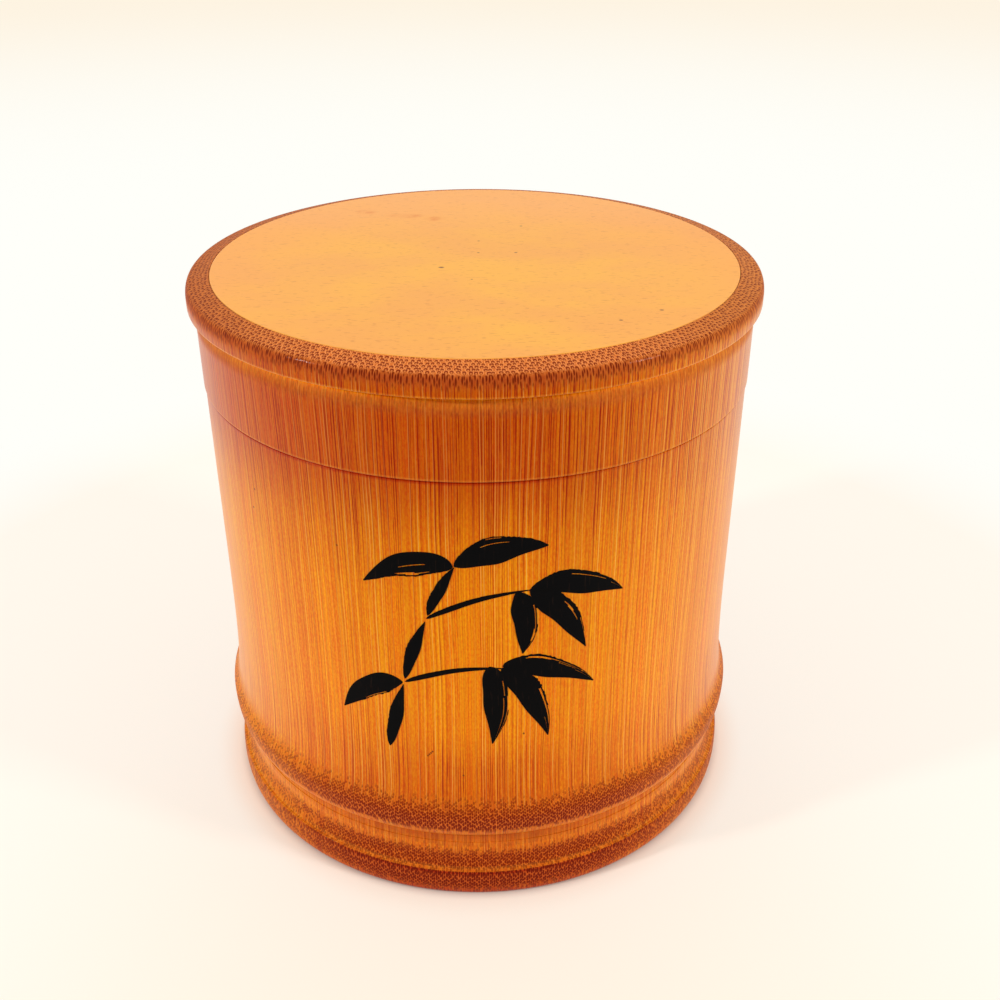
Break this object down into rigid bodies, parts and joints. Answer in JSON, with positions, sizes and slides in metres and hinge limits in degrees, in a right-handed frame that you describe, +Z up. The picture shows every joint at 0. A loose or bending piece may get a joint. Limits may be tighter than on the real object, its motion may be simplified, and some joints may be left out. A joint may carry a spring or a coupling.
{
  "type": "tea canister",
  "caption": "Round turned-bamboo tea canister with a moulded foot, an inner neck ring and a push-fit lid with a smooth veneered panel that lifts off.",
  "frame": {"origin": "centre of the foot, on the surface that the canister stands on", "axes": "+Z up along the turning axis, -Y towards the viewer of the picture"},
  "size_m": [0.0943, 0.0942, 0.0956],
  "materials": {
    "turned_bamboo": "clear lacquer over carbonised bamboo",
    "neck_bamboo": "sanded, unlacquered",
    "board": "sanded, unlacquered",
    "panel_veneer": "satin lacquer"
  },
  "bodies": {
    "body": {"body_tube": "turned_bamboo", "base_board": "board", "neck_ring": "neck_bamboo"},
    "lid": {"lid_ring": "turned_bamboo", "lid_core": "board", "lid_veneer": "panel_veneer"}
  },
  "joints": [
    {"name": "lid_lift", "type": "slide", "parent": "body", "child": "lid", "axis": [0, 0, 1], "range_m": [0, 0.06]}
  ]
}
